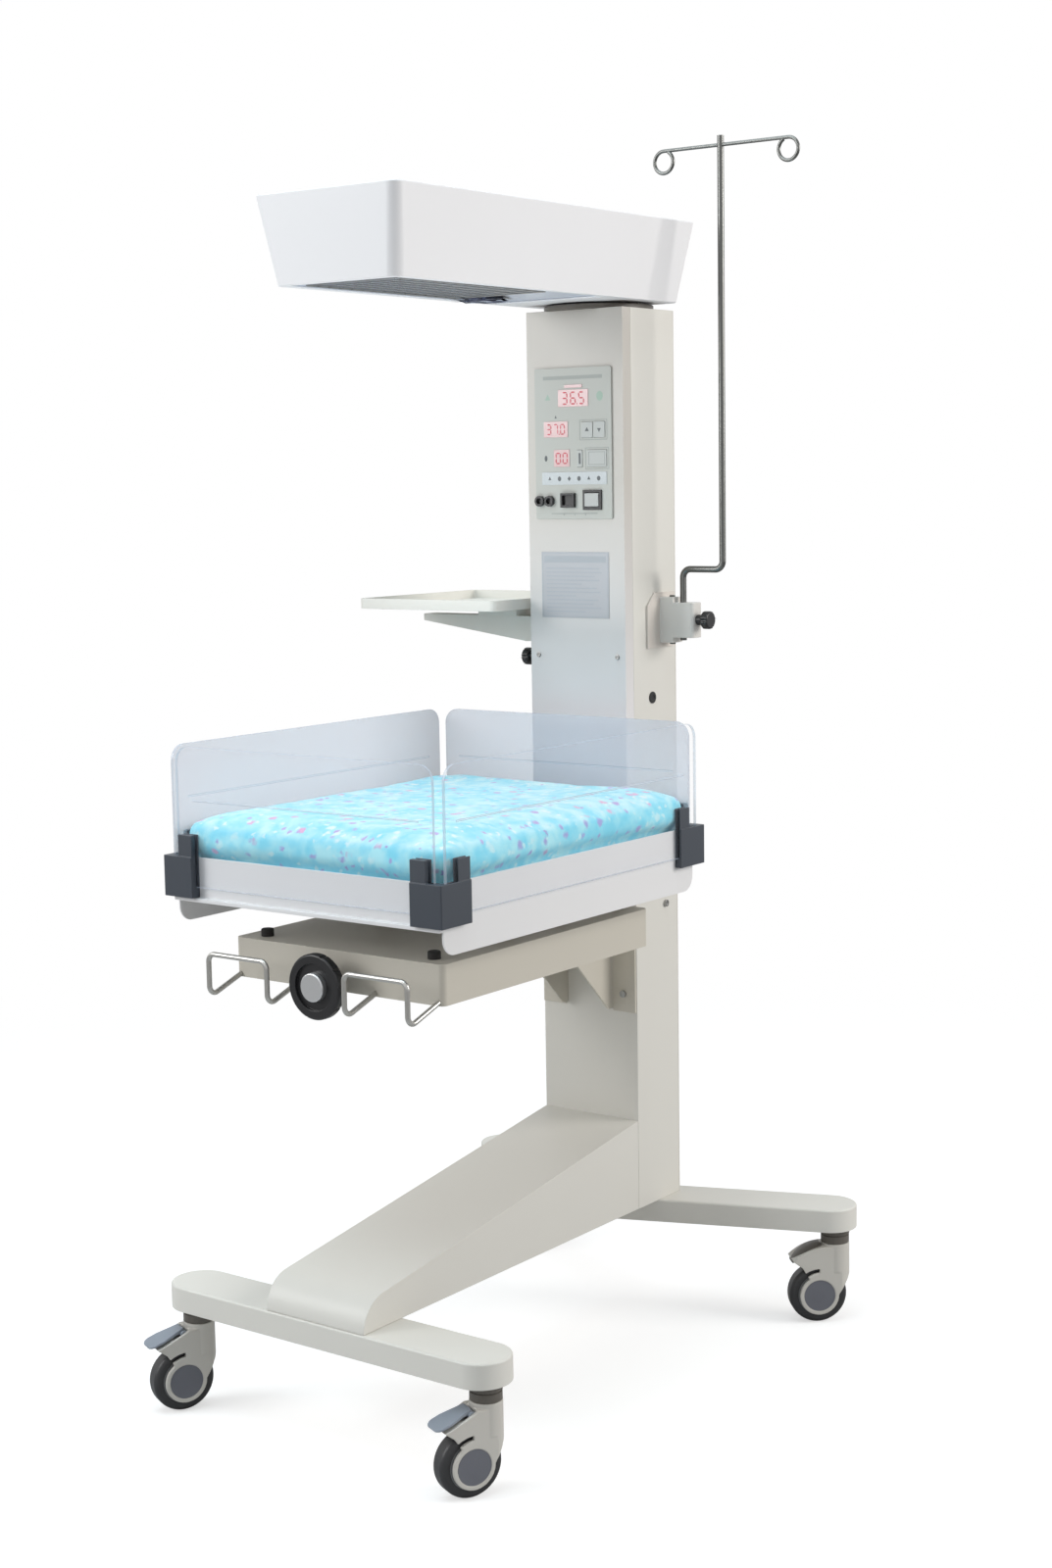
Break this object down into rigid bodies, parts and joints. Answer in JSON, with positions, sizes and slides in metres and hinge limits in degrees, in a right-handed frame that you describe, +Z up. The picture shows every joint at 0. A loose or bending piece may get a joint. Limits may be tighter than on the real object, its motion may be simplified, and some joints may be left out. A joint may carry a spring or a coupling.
{
  "type": "infant radiant warmer",
  "caption": "Infant radiant warmer on a caster base, with a tilting bed, clear walls, a swivelling heated hood, a drip pole and a shelf.",
  "frame": {"origin": "on the floor below the middle of the warmer's outer box", "axes": "+Z up, -Y towards the front (the foot end of the bed), X across; the column stands at +Y"},
  "size_m": [0.8021, 1.0298, 2.008],
  "materials": {
    "cream_paint": "satin",
    "grey_paint": "satin",
    "white_paint": "satin",
    "panel_film": "matte",
    "dark_window": "gloss",
    "key_grey": "matte",
    "black_plastic": "gloss",
    "bright_steel": "brushed",
    "dark_steel": "satin",
    "reflector_metal": "polished",
    "heater_steel": "satin",
    "bracket_plastic": "matte",
    "clear_acrylic": "clear",
    "mattress_cloth": "woven",
    "buffer_rubber": "matte",
    "caster_housing": "satin",
    "caster_tyre": "matte",
    "caster_hub": "matte",
    "pedal_plastic": "matte"
  },
  "bodies": {
    "frame": {"front_bar": "cream_paint", "rear_leg_bar": "cream_paint", "ramp_beam": "cream_paint", "caster_collars": "dark_steel", "column_shell": "cream_paint", "column_front_cover": "grey_paint", "column_back_cover": "cream_paint", "control_panel": "panel_film", "display_windows": "dark_window", "panel_fittings": "black_plastic", "label_plate": "panel_film", "column_fasteners": "bright_steel", "mains_inlet": "black_plastic", "pole_bracket": "grey_paint", "shelf_bracket": "grey_paint", "bed_support_arm": "cream_paint", "support_gussets": "cream_paint", "wire_hooks": "bright_steel", "tilt_brackets": "cream_paint", "bed_buffers": "buffer_rubber", "hood_turntable": "dark_steel"},
    "hood": {"hood_shell": "white_paint", "heat_reflector": "reflector_metal", "heater_element": "heater_steel", "heater_guard": "heater_steel", "exam_lamp": "black_plastic", "hood_spindle": "bright_steel"},
    "bed": {"bed_tray": "cream_paint", "corner_brackets": "bracket_plastic", "mattress": "mattress_cloth"},
    "wall_front": {"wall_front": "clear_acrylic"},
    "wall_back": {"wall_back": "clear_acrylic"},
    "wall_left": {"wall_left": "clear_acrylic"},
    "wall_right": {"wall_right": "clear_acrylic"},
    "handwheel": {"handwheel_rim": "black_plastic", "handwheel_hub": "bright_steel"},
    "drip_pole": {"drip_pole": "bright_steel"},
    "pole_knob": {"pole_knob": "black_plastic"},
    "shelf": {"shelf_arm": "cream_paint", "shelf_tray": "cream_paint"},
    "shelf_knob": {"shelf_knob": "black_plastic"},
    "power_rocker": {"power_rocker": "key_grey"},
    "mode_key_left": {"mode_key_left": "key_grey"},
    "mode_key_right": {"mode_key_right": "key_grey"},
    "step_key": {"step_key": "key_grey"},
    "timer_key": {"timer_key": "key_grey"},
    "fork_front_left": {"caster_fork_front_left": "caster_housing"},
    "wheel_front_left": {"caster_tyre_front_left": "caster_tyre", "caster_hub_front_left": "caster_hub"},
    "pedal_front_left": {"brake_pedal_front_left": "pedal_plastic"},
    "fork_front_right": {"caster_fork_front_right": "caster_housing"},
    "wheel_front_right": {"caster_tyre_front_right": "caster_tyre", "caster_hub_front_right": "caster_hub"},
    "pedal_front_right": {"brake_pedal_front_right": "pedal_plastic"},
    "fork_rear_left": {"caster_fork_rear_left": "caster_housing"},
    "wheel_rear_left": {"caster_tyre_rear_left": "caster_tyre", "caster_hub_rear_left": "caster_hub"},
    "fork_rear_right": {"caster_fork_rear_right": "caster_housing"},
    "wheel_rear_right": {"caster_tyre_rear_right": "caster_tyre", "caster_hub_rear_right": "caster_hub"}
  },
  "joints": [
    {"name": "swivel_front_left", "type": "hinge", "parent": "frame", "child": "fork_front_left", "pos_m": [-0.288, -0.42931, 0.1395], "axis": [0, 0, 1], "continuous": true},
    {"name": "roll_front_left", "type": "hinge", "parent": "fork_front_left", "child": "wheel_front_left", "pos_m": [-0.30152, -0.45832, 0.05], "axis": [0.9063, -0.4226, 0], "continuous": true},
    {"name": "brake_front_left", "type": "hinge", "parent": "fork_front_left", "child": "pedal_front_left", "pos_m": [-0.3011, -0.45741, 0.125], "axis": [0.9063, -0.4226, 0], "range_deg": [0, 5]},
    {"name": "swivel_front_right", "type": "hinge", "parent": "frame", "child": "fork_front_right", "pos_m": [0.288, -0.42931, 0.1395], "axis": [0, 0, 1], "continuous": true},
    {"name": "roll_front_right", "type": "hinge", "parent": "fork_front_right", "child": "wheel_front_right", "pos_m": [0.27448, -0.45832, 0.05], "axis": [0.9063, -0.4226, 0], "continuous": true},
    {"name": "brake_front_right", "type": "hinge", "parent": "fork_front_right", "child": "pedal_front_right", "pos_m": [0.2749, -0.45741, 0.125], "axis": [0.9063, -0.4226, 0], "range_deg": [0, 5]},
    {"name": "swivel_rear_left", "type": "hinge", "parent": "frame", "child": "fork_rear_left", "pos_m": [-0.36, 0.47169, 0.1395], "axis": [0, 0, 1], "continuous": true},
    {"name": "roll_rear_left", "type": "hinge", "parent": "fork_rear_left", "child": "wheel_rear_left", "pos_m": [-0.34257, 0.44485, 0.05], "axis": [0.8387, 0.5446, 0], "continuous": true},
    {"name": "swivel_rear_right", "type": "hinge", "parent": "frame", "child": "fork_rear_right", "pos_m": [0.36, 0.47169, 0.1395], "axis": [0, 0, 1], "continuous": true},
    {"name": "roll_rear_right", "type": "hinge", "parent": "fork_rear_right", "child": "wheel_rear_right", "pos_m": [0.3366, 0.44986, 0.05], "axis": [0.682, -0.7314, 0], "continuous": true},
    {"name": "hood_swivel", "type": "hinge", "parent": "frame", "child": "hood", "pos_m": [0, 0.30569, 1.74], "axis": [0, 0, 1], "range_deg": [-45, 45]},
    {"name": "bed_tilt", "type": "hinge", "parent": "frame", "child": "bed", "pos_m": [0, -0.14431, 0.796], "axis": [1, 0, 0], "range_deg": [-9, 9]},
    {"name": "handwheel_turn", "type": "hinge", "parent": "frame", "child": "handwheel", "pos_m": [0, -0.44431, 0.717], "axis": [0, 1, 0], "range_deg": [-1080, 1080]},
    {"name": "lift_wall_front", "type": "slide", "parent": "bed", "child": "wall_front", "axis": [0, 0, 1], "range_m": [0, 0.06]},
    {"name": "lift_wall_back", "type": "slide", "parent": "bed", "child": "wall_back", "axis": [0, 0, 1], "range_m": [0, 0.06]},
    {"name": "lift_wall_left", "type": "slide", "parent": "bed", "child": "wall_left", "axis": [0, 0, 1], "range_m": [0, 0.06]},
    {"name": "lift_wall_right", "type": "slide", "parent": "bed", "child": "wall_right", "axis": [0, 0, 1], "range_m": [0, 0.06]},
    {"name": "pole_swivel", "type": "hinge", "parent": "frame", "child": "drip_pole", "pos_m": [0.139, 0.34569, 1.186], "axis": [0, 0, 1], "range_deg": [-45, 45]},
    {"name": "pole_knob_turn", "type": "hinge", "parent": "frame", "child": "pole_knob", "pos_m": [0.17, 0.34569, 1.219], "axis": [1, 0, 0], "range_deg": [-180, 180]},
    {"name": "shelf_lift", "type": "slide", "parent": "frame", "child": "shelf", "axis": [0, 0, 1], "range_m": [0, 0.04]},
    {"name": "shelf_knob_turn", "type": "hinge", "parent": "frame", "child": "shelf_knob", "pos_m": [-0.145, 0.30569, 1.151], "axis": [-1, 0, 0], "range_deg": [-180, 180]},
    {"name": "rocker_tilt", "type": "hinge", "parent": "frame", "child": "power_rocker", "pos_m": [0.03675, 0.22986, 1.4225], "axis": [1, 0, 0], "range_deg": [-6, 6]},
    {"name": "press_mode_key_left", "type": "slide", "parent": "frame", "child": "mode_key_left", "axis": [0, 1, 0], "range_m": [0, 0.0008], "stiffness_N_per_m": 300},
    {"name": "press_mode_key_right", "type": "slide", "parent": "frame", "child": "mode_key_right", "axis": [0, 1, 0], "range_m": [0, 0.0008], "stiffness_N_per_m": 300},
    {"name": "press_step_key", "type": "slide", "parent": "frame", "child": "step_key", "axis": [0, 1, 0], "range_m": [0, 0.0008], "stiffness_N_per_m": 300},
    {"name": "press_timer_key", "type": "slide", "parent": "frame", "child": "timer_key", "axis": [0, 1, 0], "range_m": [0, 0.0008], "stiffness_N_per_m": 300}
  ],
  "couplings": [
    {"joint": "handwheel_turn", "follows": "bed_tilt", "ratio": 110}
  ]
}
